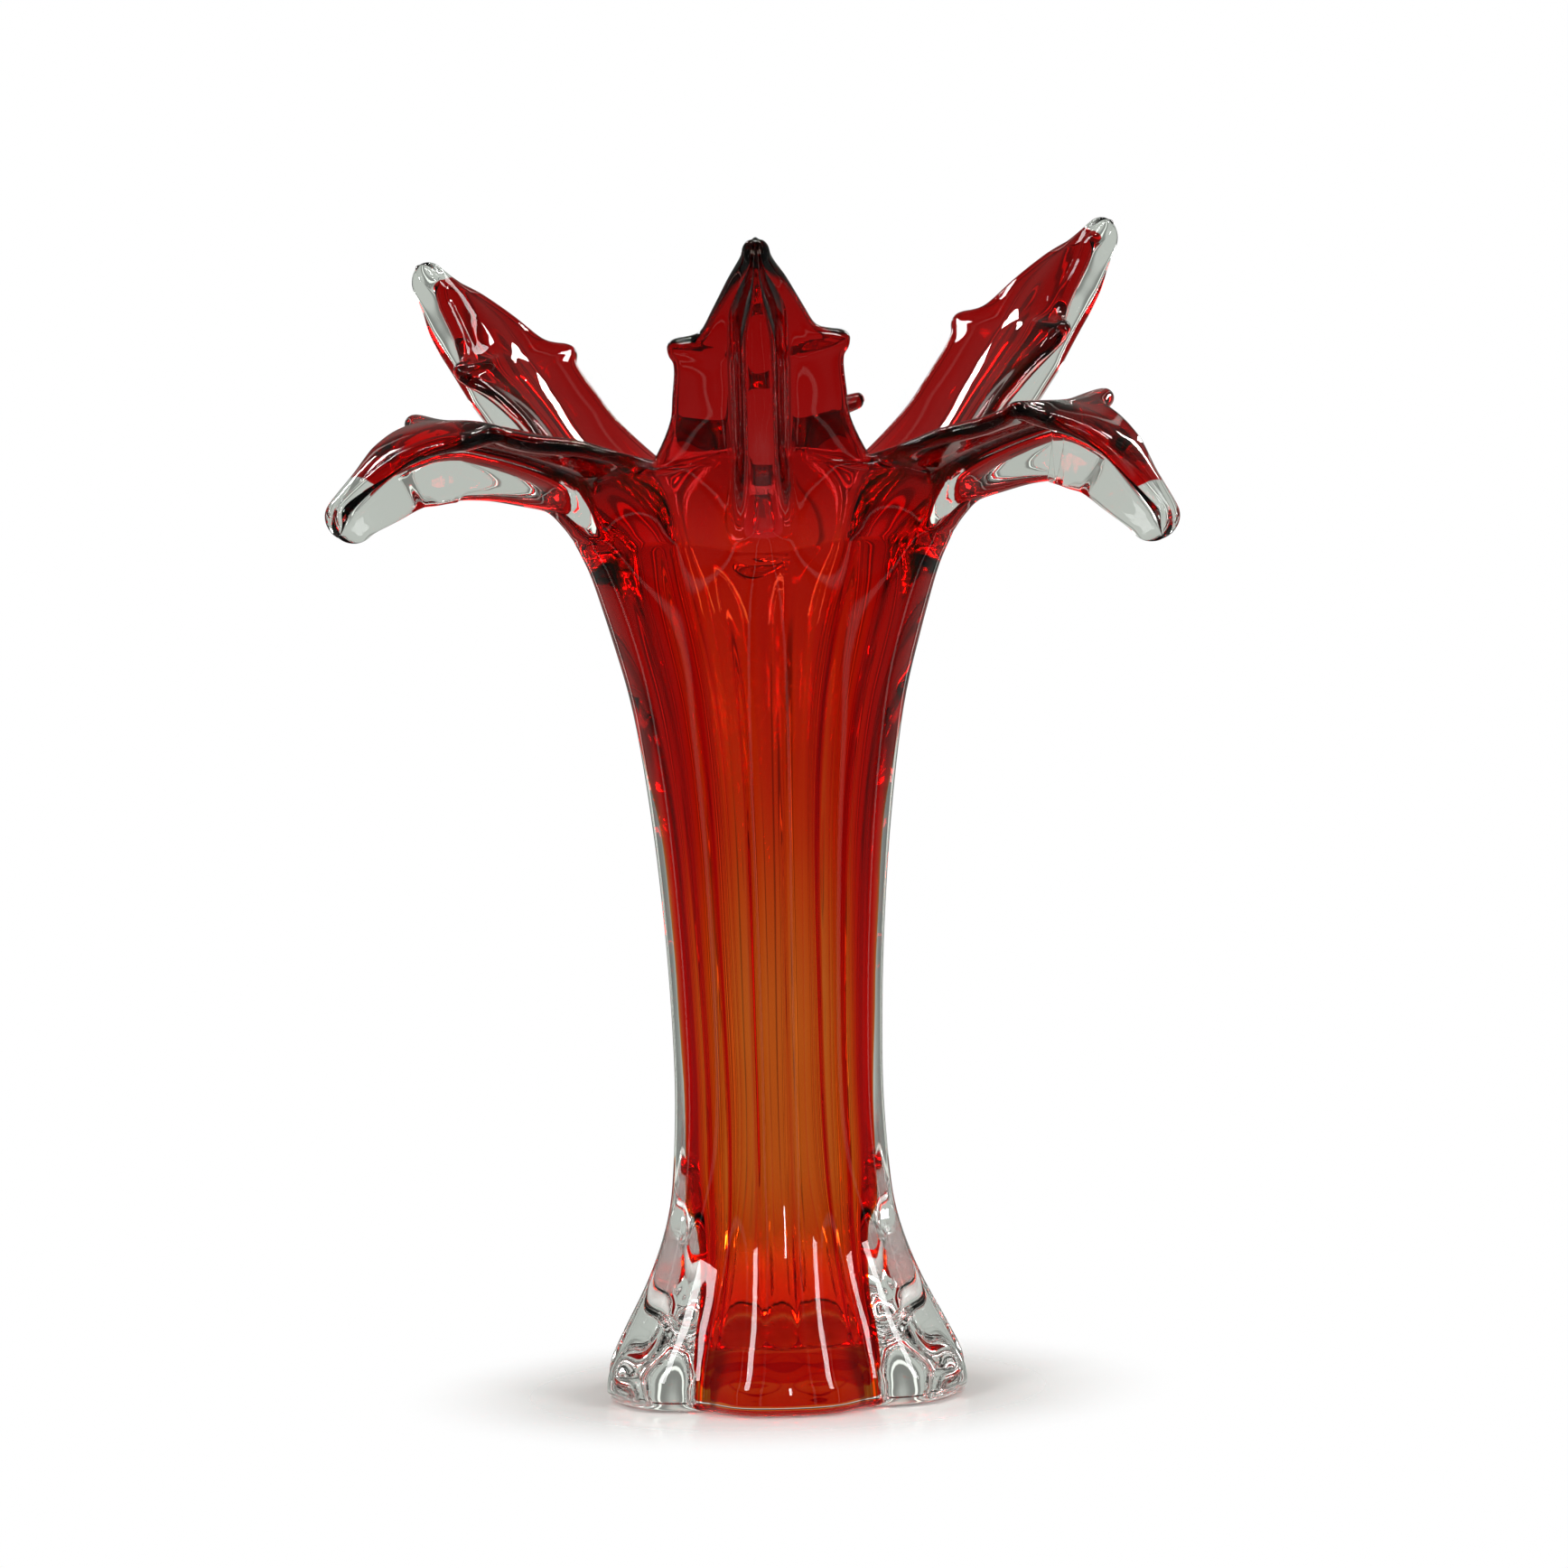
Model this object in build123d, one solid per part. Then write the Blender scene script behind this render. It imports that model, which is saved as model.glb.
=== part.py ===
from build123d import *
import os

import numpy as np

# Hand blown vase of cased glass, in millimetres. The origin is the centre of the foot's underside, and +Z is up.
# One gather of amber and ruby glass lines the cavity, and a thick clear gather over it is drawn into six ribs,
# six toes at the foot and six long fingers at the rim, which stand up and droop by turns.

# Fingers and ribs, one in each sixth of a turn. Azimuth 0 is the front, towards -Y, and 90 is towards +X.
SECTOR = 60.0
HALF_SECTOR = SECTOR / 2
ROOT_Z = 236.0  # the fingers' roots start here, on the flat top of the body
VALLEY_Z = 258.0  # lowest point of the rim, between two fingers
RING_TOP_WALL = 6.0  # wall at that point

# Body: the outer skin over a rib and in the groove between two ribs, at each height.
#            height  rib    groove
BODY_SKIN = [
    (0.0, 52.8, 46.8),
    (7.0, 51.9, 46.2),
    (12.0, 49.5, 44.4),
    (18.0, 46.4, 42.0),
    (26.0, 42.0, 38.1),
    (36.0, 37.4, 34.3),
    (48.0, 33.4, 31.2),
    (62.0, 30.7, 29.8),
    (85.0, 29.3, 28.7),
    (110.0, 29.9, 29.3),
    (140.0, 31.8, 31.2),
    (160.0, 33.8, 33.2),
    (190.0, 38.4, 37.5),
    (209.0, 44.0, 42.5),
    (225.0, 50.4, 46.8),
    (ROOT_Z, 57.0, 48.5),
]
TOE_ROUNDING = 3.5  # height of the rounding under the toes
TOE_UNDERCUT = 3.8  # how far that rounding draws in
BROAD_RIB = 2.6  # at the foot the ribs are broad and the grooves narrow
EVEN_RIB = 1.0  # further up both are alike

# Lining: the coloured gather's outer radius, and the thickness of the ruby inside it.
#               height radius ruby
LINING = [
    (2.0, 22.1, 1.4),
    (12.0, 21.4, 1.4),
    (20.0, 20.2, 1.1),
    (36.0, 18.6, 0.6),
    (62.0, 17.2, 0.5),
    (85.0, 16.8, 0.5),
    (110.0, 17.2, 0.5),
    (140.0, 18.2, 0.6),
    (160.0, 19.4, 0.7),
    (190.0, 23.0, 0.9),
    (209.0, 27.4, 1.0),
    (225.0, 32.5, 1.1),
    (ROOT_Z, 37.2, 1.2),
]
AMBER_WALL = 1.0
AMBER_BOTTOM_Z = 2.0
RUBY_BOTTOM_Z = 4.5
CAVITY_BOTTOM_Z = 9.0
FLUTES = 12  # shallow flutes pressed into the lining by the first mould
FLUTE_DEPTH = 0.7

# A finger's keys from root to tip: the inner ridge (reach, height), the tilt of the section above level,
# its whole depth with the rib, the blade's thickness, and the half width and sag of the blade's edges.
# On the first three keys the edges lie on the plane between two fingers instead, as RING_EDGE says.
#               reach  height tilt  depth blade
UPRIGHT_RIDGE = [
    (35.0, ROOT_Z, 0.0, 22.0, 13.5),
    (45.0, 247.0, 0.0, 22.0, 9.5),
    (55.5, VALLEY_Z, 3.0, 21.0, 6.8),
    (66.0, 272.0, 18.0, 20.0, 6.2),
    (73.0, 281.5, 32.0, 19.6, 6.0),
    (77.0, 286.5, 36.0, 19.5, 6.0),
    (79.5, 290.0, 37.5, 19.2, 6.0),
    (85.5, 297.5, 40.0, 18.3, 5.8),
    (93.5, 305.5, 41.0, 16.3, 5.6),
    (98.5, 309.8, 42.0, 13.6, 5.5),
    (102.0, 312.5, 42.0, 11.5, 5.5),
]
DROOPING_RIDGE = [
    (35.0, ROOT_Z, 0.0, 22.0, 13.5),
    (43.0, 246.5, 20.0, 19.0, 9.5),
    (53.0, 256.5, 43.0, 17.7, 7.0),
    (65.0, 263.5, 66.0, 18.6, 6.4),
    (77.0, 268.0, 82.0, 20.0, 6.2),
    (86.0, 270.0, 88.0, 21.6, 6.0),
    (91.0, 270.2, 92.0, 22.0, 6.0),
    (101.0, 269.0, 101.0, 21.5, 6.0),
    (112.0, 264.5, 118.0, 19.6, 5.8),
    (122.0, 257.0, 130.0, 17.5, 5.6),
    (131.0, 249.0, 138.0, 14.0, 5.5),
]
#            half width, sag of the edges towards the inner face
UPRIGHT_EDGE = [
    (23.4, 4.0),
    (22.4, 3.4),
    (24.6, 4.6),
    (16.6, 2.5),
    (12.0, 1.5),
    (7.8, 0.6),
    (5.3, 0.0),
    (4.0, 0.0),
]
DROOPING_EDGE = [
    (24.0, 1.0),
    (22.4, -1.6),
    (25.0, -1.0),
    (16.6, -2.6),
    (12.2, -2.2),
    (9.0, -1.4),
    (6.8, -0.6),
    (5.4, 0.0),
]
# The two spurs of a finger differ. These are the shares of a spur's own width and sag on the same keys.
SPUR_SHARE = [
    (0.0, 0.2),
    (0.0, 0.7),
    (1.0, 1.0),
    (0.15, 0.9),
    (0.0, 0.7),
    (0.0, 0.4),
    (0.0, 0.0),
    (0.0, 0.0),
]
VALLEY_KEY = 2  # up to this key two neighbours touch on the plane between them
#   key, inner and outer radius there, height
RING_EDGE = [
    (0, 35.0, 48.5, ROOT_Z),
    (1, 45.0, 54.0, 247.0),
    (VALLEY_KEY, 55.2, 55.2 + RING_TOP_WALL, VALLEY_Z),
]
SPUR_KEY = 5  # the key at the two side spurs, beyond which a finger is drawn out and bent
EDGE_WALL = 5.0  # thickness of the rounded edge of a blade
RIB_HALF_WIDTH = 5.2  # of the clear rib behind a blade, at half its depth
RIB_FORMED_KEY = 3  # the key by which the body's broad rib has narrowed to that
TIP_LENGTH = 6.5

# Ruby facing of a finger, on its inner face. It starts on the ruby layer and thins out before the clear tip.
FACING_ROOT_WALL = 1.2
FACING_WALL = 2.3
FACING_END_WALL = 0.5
FACING_END_KEY = 9
SECTIONS_PER_KEY = 3

# name, azimuth, upright, shift of its spurs (reach, height), stretch and bend beyond them (degrees, + lifts the
# tip), half width and sag of its left and of its right spur, as seen from the vase's axis
FINGERS = [
    ("front_upright", 0.0, True, (0.0, 0.0), 1.0, 0.0, (24.6, 5.6), (24.4, 3.4)),
    ("front_right_drooping", 60.0, False, (6.0, 1.0), 0.886, -15.5, (29.5, 3.5), (26.5, 0.5)),
    ("rear_right_upright", 120.0, True, (4.3, 5.7), 1.07, 0.0, (25.5, 5.5), (25.0, -1.0)),
    ("rear_drooping", 180.0, False, (0.0, 0.0), 0.98, -5.0, (26.0, 0.0), (31.0, 5.5)),
    ("rear_left_upright", 240.0, True, (0.0, 0.0), 1.0, 0.0, (25.5, -3.0), (25.5, 5.2)),
    ("front_left_drooping", 300.0, False, (8.0, 0.0), 0.857, -4.6, (25.5, -1.0), (26.0, 2.5)),
]

SKIN_POINTS = 72  # points round a body section


def through(knots, x):
    """Monotone cubic curve through the knots (x, y...), so that an outline doesn't swing past its points."""
    table = np.array(knots, float)
    xs, ys = table[:, 0], table[:, 1:]
    steps = np.diff(xs)[:, None]
    slopes = np.diff(ys, axis=0) / steps
    tangents = np.zeros_like(ys)
    tangents[0], tangents[-1] = slopes[0], slopes[-1]
    before, after = slopes[:-1], slopes[1:]
    same_way = before * after > 0
    total = np.where(same_way, before + after, 1.0)
    tangents[1:-1] = np.where(same_way, 2 * before * after / total, 0.0)
    at = np.clip(np.searchsorted(xs, x) - 1, 0, len(xs) - 2)
    step = steps[at]
    t = (x - xs[at]) / step
    start = ys[at] * (1 + 2 * t) * (1 - t) ** 2 + tangents[at] * step * t * (1 - t) ** 2
    end = ys[at + 1] * t**2 * (3 - 2 * t) + tangents[at + 1] * step * t**2 * (t - 1)
    return start + end


def closed_spline(points):
    """A closed spline with even knots, which every section of a loft then shares."""
    knots = [index / len(points) for index in range(len(points) + 1)]
    return Edge.make_spline([Vector(*point) for point in points], periodic=True, parameters=knots)


def around(radius_at, height):
    """Closed section at one height from a function of azimuth."""
    angles = np.arange(SKIN_POINTS) * 360.0 / SKIN_POINTS
    radii = [radius_at(angle) for angle in angles]
    turns = np.radians(angles - 90)
    return [(r * np.cos(a), r * np.sin(a), height) for r, a in zip(radii, turns)]


def rib_share(azimuth, height):
    """1 on a rib and 0 in a groove, with broad ribs at the foot."""
    breadth = EVEN_RIB + (BROAD_RIB - EVEN_RIB) * max(0.0, 1 - height / 90.0)
    groove = 0.5 - 0.5 * np.cos(np.radians(azimuth) * 360 / SECTOR)
    return 1 - groove**breadth


def skin_radius(azimuth, height):
    rib, groove = through(BODY_SKIN, height)
    drop = max(0.0, 1 - height / TOE_ROUNDING)
    undercut = TOE_UNDERCUT * (1 - np.sqrt(1 - drop**2))
    return groove + (rib - groove) * rib_share(azimuth, height) - undercut


def lining_radius(azimuth, height, inset):
    """Outer radius of the lining, less an inset, with its flutes, which fade out towards the rim."""
    radius = through(LINING, height)[0]
    fade = min(1.0, max(0.0, (ROOT_Z - height) / 90.0))
    return radius - inset + FLUTE_DEPTH * fade * np.cos(np.radians(azimuth) * FLUTES)


def body_loft(radius_at, heights):
    sections = [around(lambda angle: radius_at(angle, z), z) for z in heights]
    return Solid.make_loft([Wire([closed_spline(section)]) for section in sections])


def heights_between(low, high, count):
    return list(np.linspace(low, high, count))


def skin_solid():
    toe = [0.0, 0.5, 1.4, TOE_ROUNDING]
    flare = heights_between(8.0, 60.0, 9)
    trunk = heights_between(75.0, 210.0, 10)
    return body_loft(skin_radius, toe + flare + trunk + [223.0, ROOT_Z])


def lining_solid(bottom, inset_at):
    heights = heights_between(bottom, ROOT_Z, 17)
    return body_loft(lambda angle, z: lining_radius(angle, z, inset_at(z)), heights)


def cavity_inset(height):
    return AMBER_WALL + through(LINING, height)[1]


def finger_keys(upright, shift, stretch, bend, left_spur, right_spur):
    """One row a key: its number, ridge, blade's back, rib's nose, and inner and outer edge on both sides.

    The ridge, back and nose are (reach, height) in the finger's own plane. Each edge is (side, reach, height).
    """
    ridge = np.array(UPRIGHT_RIDGE if upright else DROOPING_RIDGE)
    edges = UPRIGHT_EDGE if upright else DROOPING_EDGE
    usual_spur = np.array(edges[SPUR_KEY - VALLEY_KEY - 1])
    pivot, drawn = ridge[SPUR_KEY, :2].copy(), ridge[SPUR_KEY + 1 :]
    lift = np.radians(bend)
    turn = np.array(((np.cos(lift), np.sin(lift)), (-np.sin(lift), np.cos(lift))))
    drawn[:, :2] = pivot + shift + (drawn[:, :2] - pivot) @ turn * stretch
    drawn[:, 2] -= bend
    for key in range(VALLEY_KEY + 1, SPUR_KEY + 1):
        ridge[key, :2] += np.array(shift) * (key - VALLEY_KEY) / (SPUR_KEY - VALLEY_KEY)
    rows = []
    for key, (reach, height, tilt, depth, blade) in enumerate(ridge):
        top = np.array((reach, height))
        inward = np.array((-np.cos(np.radians(tilt)), np.sin(np.radians(tilt))))
        row = [key, *top, *(top - inward * blade), *(top - inward * depth)]
        for spur in (left_spur, right_spur):
            if key <= VALLEY_KEY:
                inner, outer = ring_edges(key)
            else:
                at = key - VALLEY_KEY - 1
                half_width, sag = edges[at] + (spur - usual_spur) * SPUR_SHARE[at]
                middle = top + inward * (sag - blade / 2)
                inner = (half_width - EDGE_WALL / 2, *(middle + inward * EDGE_WALL / 2))
                outer = (half_width - EDGE_WALL / 2, *(middle - inward * EDGE_WALL / 2))
            row += [*inner, *outer]
        rows.append(row)
    return rows


def ring_edges(key):
    """Inner and outer edge on the plane between two fingers, the same for both."""
    inner_radius, outer_radius, height = through(RING_EDGE, key)
    sine, cosine = np.sin(np.radians(HALF_SECTOR)), np.cos(np.radians(HALF_SECTOR))
    return [(radius * sine, radius * cosine, height) for radius in (inner_radius, outer_radius)]


def across(centre, edge, q):
    """A point of a blade's face at share q of its width, on an arc from its centre line to its edge."""
    half = np.radians(HALF_SECTOR)
    side = edge[0] * np.sin(half * q) / np.sin(half)
    sag = (1 - np.cos(half * q)) / (1 - np.cos(half))
    return np.array((centre[0] + (edge[1] - centre[0]) * sag, side, centre[1] + (edge[2] - centre[1]) * sag))


def rib_bump(q, half_width, formed):
    """Height of the rib on a blade's back: a wave like the body's if formed is 0, flat nosed if it's 1."""
    wave = np.cos(np.pi * q / 2) ** 2
    away = abs(q) * half_width / min(RIB_HALF_WIDTH, half_width / 2)
    return wave * (1 - formed) + formed * (1 - q**8) / (1 + away**8)


def edge_run(outer, inner, side, roundness, start, end):
    """Points on a blade's edge from angle start to end, where 0 is on its back and 180 on its inner face."""
    outer = np.array((outer[1], side * outer[0], outer[2]))
    inner = np.array((inner[1], side * inner[0], inner[2]))
    middle, half = (outer + inner) / 2, (inner - outer) / 2
    bulge = np.array((0.0, side * roundness * np.linalg.norm(half), 0.0))
    bends = np.radians(np.linspace(start, end, 5))
    return np.array([middle - half * np.cos(bend) + bulge * np.sin(bend) for bend in bends])


def finger_section(keys, key):
    """Outlines of the clear glass and of the ruby facing at a key. Each is a loop of four runs of points."""
    values = through(keys, key)
    ridge, back, nose = values[0:2], values[2:4], values[4:6]
    pairs = {1: (values[6:9], values[9:12]), -1: (values[12:15], values[15:18])}
    if key <= VALLEY_KEY:
        pairs = {1: ring_edges(key), -1: ring_edges(key)}
    formed = min(1.0, key / RIB_FORMED_KEY)
    roundness = 0.0 if key <= VALLEY_KEY else 1.0
    faced = key <= FACING_END_KEY
    swelling = min(1.0, key / VALLEY_KEY)
    thinning = max(0.0, (key - SPUR_KEY) / (FACING_END_KEY - SPUR_KEY))
    wall = FACING_ROOT_WALL + (FACING_WALL - FACING_ROOT_WALL) * swelling
    wall += (FACING_END_WALL - FACING_WALL) * thinning**2
    half_wall = np.linalg.norm(np.subtract(*pairs[1])) / 2
    seam_angle = np.degrees(np.arccos(wall / half_wall - 1)) if faced else 180.0
    seam_centre = ridge + (back - ridge) / np.linalg.norm(back - ridge) * (wall if faced else 0.0)
    seams, lower, upper = {}, {}, {}
    for side, (inner, outer) in pairs.items():
        seam = edge_run(outer, inner, 1.0, roundness, seam_angle, seam_angle)[0]
        seams[side] = (seam[1], seam[0], seam[2])
        lower[side] = edge_run(outer, inner, side, roundness, 0.0, seam_angle)
        upper[side] = edge_run(outer, inner, side, roundness, seam_angle, 180.0)
    even = np.linspace(-1, 1, 25)
    behind, seam_face, inner_face = [], [], []
    for q in even * (1 - 0.45 * formed * (1 - even**2)):
        side = 1 if q > 0 else -1
        inner, outer = pairs[side]
        push = (nose - back) * rib_bump(q, outer[0], formed)
        fan = np.radians(HALF_SECTOR * q) * (1 - formed)
        behind.append(across(back, outer, q) + (push[0] * np.cos(fan), push[0] * np.sin(fan), push[1]))
        seam_face.append(across(seam_centre, seams[side], q))
        inner_face.append(across(ridge, inner, q))
    clear = [np.array(behind), lower[1], np.array(seam_face[::-1]), lower[-1][::-1]]
    if not faced:
        return clear, None
    return clear, [np.array(seam_face), upper[1], np.array(inner_face[::-1]), upper[-1][::-1]]


def rounded_tip(section):
    """Ever smaller copies of the last section, which round the finger off."""
    ridge, nose = section[2][len(section[2]) // 2], section[0][len(section[0]) // 2]
    middle = (ridge + nose) / 2
    inward = (ridge - nose) / np.linalg.norm(ridge - nose)
    forward = np.array((inward[2], 0.0, -inward[0])) * TIP_LENGTH
    ends = []
    for share in (0.4, 0.7, 0.9, 0.98):
        size = np.sqrt(1 - share**2)
        ends.append([middle + (run - middle) * size + forward * share for run in section])
    return ends


def finger_loft(sections, azimuth):
    loops = [[Edge.make_spline([Vector(*point) for point in run]) for run in section] for section in sections]
    return Solid.make_loft([Wire(loop) for loop in loops], ruled=True).rotate(Axis.Z, azimuth - 90)


def finger_pieces(azimuth, *shape):
    """The clear glass and the ruby facing of one finger."""
    keys = finger_keys(*shape)
    last = len(keys) - 1
    sections = [finger_section(keys, key) for key in np.linspace(0, last, last * SECTIONS_PER_KEY + 1)]
    clear = [section for section, _facing in sections]
    facing = [facing for _section, facing in sections if facing is not None]
    return finger_loft(clear + rounded_tip(clear[-1]), azimuth), finger_loft(facing, azimuth)


def main():
    os.makedirs("parts", exist_ok=True)
    lining = lining_solid(AMBER_BOTTOM_Z, lambda z: 0.0)
    amber_bore = lining_solid(RUBY_BOTTOM_Z, lambda z: AMBER_WALL)
    cavity = lining_solid(CAVITY_BOTTOM_Z, cavity_inset)
    pieces = {
        "clear_casing": skin_solid() - lining,
        "amber_layer": lining - amber_bore,
        "ruby_layer": amber_bore - cavity,
    }
    for name, *shape in FINGERS:
        pieces[name + "_finger"], pieces[name + "_ruby_facing"] = finger_pieces(*shape)
    for name, piece in pieces.items():
        piece.label = name
        export_step(piece, os.path.join("parts", name + ".step"))


main()
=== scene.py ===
import math

import bmesh
import bpy
import numpy as np
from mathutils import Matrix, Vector


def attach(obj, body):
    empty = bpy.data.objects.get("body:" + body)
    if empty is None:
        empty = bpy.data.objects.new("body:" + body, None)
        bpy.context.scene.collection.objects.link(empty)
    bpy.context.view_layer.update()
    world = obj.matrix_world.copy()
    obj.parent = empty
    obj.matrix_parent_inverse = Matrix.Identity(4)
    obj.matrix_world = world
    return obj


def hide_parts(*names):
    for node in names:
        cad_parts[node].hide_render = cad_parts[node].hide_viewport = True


# Hand blown vase of cased glass. All sizes below are millimetres in the frame of the CAD model, whose origin
# is the centre of the foot's underside. Azimuth 0 is the front, towards -Y, and 90 is towards +X. The clear
# glass is one closed wall, because fused glass has no surface inside it. The amber and the ruby glass are
# bodies of colour inside that wall, which absorb light and don't refract it.

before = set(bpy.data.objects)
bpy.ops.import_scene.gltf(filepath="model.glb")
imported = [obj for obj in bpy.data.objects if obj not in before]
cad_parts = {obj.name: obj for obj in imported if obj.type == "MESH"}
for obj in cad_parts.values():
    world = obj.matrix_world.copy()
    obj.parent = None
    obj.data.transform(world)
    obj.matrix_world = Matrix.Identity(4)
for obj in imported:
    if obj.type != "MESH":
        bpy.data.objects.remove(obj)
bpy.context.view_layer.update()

MM = 0.001
SECTOR = 60.0
HALF_SECTOR = SECTOR / 2
ROOT_Z = 236.0
VALLEY_Z = 258.0

# height, radius over a rib and in the groove between two ribs
BODY_SKIN = [
    (0.0, 52.8, 46.8),
    (7.0, 51.9, 46.2),
    (12.0, 49.5, 44.4),
    (18.0, 46.4, 42.0),
    (26.0, 42.0, 38.1),
    (36.0, 37.4, 34.3),
    (48.0, 33.4, 31.2),
    (62.0, 30.7, 29.8),
    (85.0, 29.3, 28.7),
    (110.0, 29.9, 29.3),
    (140.0, 31.8, 31.2),
    (160.0, 33.8, 33.2),
    (190.0, 38.4, 37.5),
    (209.0, 44.0, 42.5),
    (225.0, 50.4, 46.8),
    (ROOT_Z, 57.0, 48.5),
]
TOE_ROUNDING = 3.5  # height of the rounding under the toes
TOE_UNDERCUT = 3.8  # how far that rounding draws in
BROAD_RIB = 2.6  # at the foot the ribs are broad and the grooves narrow
EVEN_RIB = 1.0  # from EVEN_RIB_Z up both are alike
EVEN_RIB_Z = 90.0

# height, outer radius of the amber, inner radius of the wall
LINING = [
    (1.0, 21.8, 19.8),
    (12.0, 21.0, 19.1),
    (20.0, 19.9, 18.1),
    (36.0, 18.6, 17.1),
    (62.0, 17.1, 15.9),
    (85.0, 16.7, 15.5),
    (110.0, 17.1, 15.9),
    (140.0, 18.2, 16.8),
    (160.0, 19.4, 17.8),
    (190.0, 23.0, 21.2),
    (209.0, 27.4, 25.5),
    (225.0, 32.5, 30.5),
    (ROOT_Z, 37.2, 35.0),
]
RUBY_WALL_FROM_Z = 13.0  # below it the ruby keeps its first thickness
# height, thickness of the ruby
RUBY_WALL = [
    (RUBY_WALL_FROM_Z, 0.75),
    (18.0, 0.75),
    (24.0, 0.5),
    (32.0, 0.22),
    (45.0, 0.1),
    (60.0, 0.05),
    (90.0, 0.05),
    (130.0, 0.14),
    (160.0, 0.35),
    (200.0, 0.6),
    (225.0, 0.8),
    (ROOT_Z, 1.0),
]
AMBER_BOTTOM_Z = 1.5  # underside of the amber
AMBER_FLOOR_Z = 1.6  # and its upper face at the bottom
RUBY_BOTTOM_Z = 4.6
RUBY_FLOOR_Z = 4.7
CAVITY_BOTTOM_Z = 9.0
FLUTES = 12
FLUTE_DEPTH = 0.75
FLUTE_FADE = (215.0, 258.0)  # over these heights the flutes die out
SEAM_WALL = 0.6  # the ruby glass is thicker by this along the creases between the flutes
SEAM_SHARE = 0.16  # half width of such a seam, as a share of a flute's half width
STREAK_SHARE = 0.5  # most that the ruby's thickness varies by along the upper trunk
SCALLOP = 1.0  # the ruby hangs lower by this under the flutes, at its bottom
SCALLOP_HEIGHT = 9.0
SKIN_DEPTH = 0.3  # clear glass between the wall's surface and the colour
GAP = 0.03  # between two bodies of colour

# Ridge of a finger's inner face, one row per key: reach, height, tilt of the section, depth of the section
# from the ridge to the rib's nose, and depth of the blade alone.
UPRIGHT_RIDGE = [
    (35.0, ROOT_Z, 0.0, 22.0, 13.5),
    (45.0, 247.0, 0.0, 22.0, 9.5),
    (55.5, VALLEY_Z, 3.0, 21.0, 6.8),
    (66.0, 272.0, 18.0, 20.0, 6.2),
    (73.0, 281.5, 32.0, 19.6, 6.0),
    (77.0, 286.5, 36.0, 19.5, 6.0),
    (79.5, 290.0, 37.5, 19.2, 6.0),
    (85.5, 297.5, 40.0, 18.3, 5.8),
    (93.5, 305.5, 41.0, 16.3, 5.6),
    (98.5, 309.8, 42.0, 13.6, 5.5),
    (102.0, 312.5, 42.0, 11.5, 5.5),
]
DROOPING_RIDGE = [
    (35.0, ROOT_Z, 0.0, 22.0, 13.5),
    (43.0, 246.5, 20.0, 19.0, 9.5),
    (53.0, 256.5, 43.0, 17.7, 7.0),
    (65.0, 263.5, 66.0, 18.6, 6.4),
    (77.0, 268.0, 82.0, 20.0, 6.2),
    (86.0, 270.0, 88.0, 21.6, 6.0),
    (91.0, 270.2, 92.0, 22.0, 6.0),
    (101.0, 269.0, 101.0, 21.5, 6.0),
    (112.0, 264.5, 118.0, 19.6, 5.8),
    (122.0, 257.0, 130.0, 17.5, 5.6),
    (131.0, 249.0, 138.0, 14.0, 5.5),
]
# key, half width, sag of the edges towards the inner face
UPRIGHT_EDGE = [
    (3.0, 23.4, 4.0),
    (4.0, 22.4, 3.4),
    (4.4, 22.6, 3.6),
    (4.75, 23.6, 4.2),
    (5.0, 24.6, 4.6),
    (5.25, 24.0, 4.4),
    (5.5, 21.2, 3.4),
    (6.0, 16.6, 2.5),
    (7.0, 12.0, 1.5),
    (8.0, 7.8, 0.3),
    (9.0, 5.3, -0.8),
    (10.0, 4.0, -1.6),
]
DROOPING_EDGE = [
    (3.0, 24.0, 1.0),
    (4.0, 22.4, -1.6),
    (4.4, 22.8, -1.6),
    (4.75, 24.0, -1.2),
    (5.0, 25.0, -1.0),
    (5.25, 24.2, -1.2),
    (5.5, 21.2, -2.0),
    (6.0, 16.6, -2.6),
    (7.0, 12.2, -2.2),
    (8.0, 9.0, -1.4),
    (9.0, 6.8, -0.6),
    (10.0, 5.4, 0.0),
]
# key, share of a spur's own width and of its own sag which the edge takes on there
SPUR_SHARE = [
    (3.0, 0.0, 0.2),
    (4.0, 0.0, 0.7),
    (4.4, 0.2, 0.85),
    (5.0, 1.0, 1.0),
    (5.5, 0.6, 0.95),
    (6.0, 0.15, 0.9),
    (7.0, 0.0, 0.7),
    (8.0, 0.0, 0.4),
    (9.0, 0.0, 0.0),
    (10.0, 0.0, 0.0),
]
VALLEY_KEY = 2
FREE_KEY = 3.0  # from here on the tables give a blade's edges
# key, inner and outer radius between two fingers, height
RING_EDGE = [
    (0, 35.0, 48.5, ROOT_Z),
    (1, 45.0, 54.0, 246.0),
    (VALLEY_KEY, 55.2, 61.2, 255.0),
]
VALLEY_LEAVE = 0.5  # share of the ring's own direction with which the edge leaves the valley
VALLEY_ROUNDING = 10.0
KEY_STEP = 0.01  # for directions along the edge
SPUR_KEY = 5
EDGE_WALL = 5.0  # thickness of the blade's rounded edge
RIB_HALF_WIDTH = 5.2  # of the clear rib behind a blade, at half its depth
RIB_SHARE = 0.62  # of the blade's half width, where the rib would otherwise be wider
RIB_SHARPNESS = 12  # exponent for the steepness of the rib's sides
NOSE_SHARPNESS = 8
RIB_FORMED_KEY = 2.2  # the key by which the body's broad rib has narrowed to a finger's
TIP_LENGTH = 6.5
FACING_TIP_LENGTH = 1.2
FACING_FROM_KEY = 0.003
# key, thickness of the ruby on a finger's inner face
FACING_WALL = [
    (0.0, 1.0),
    (1.0, 1.7),
    (2.0, 2.3),
    (3.0, 2.5),
    (5.5, 2.7),
    (7.5, 3.6),
    (9.0, 3.4),
    (10.0, 2.8),
]

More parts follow.
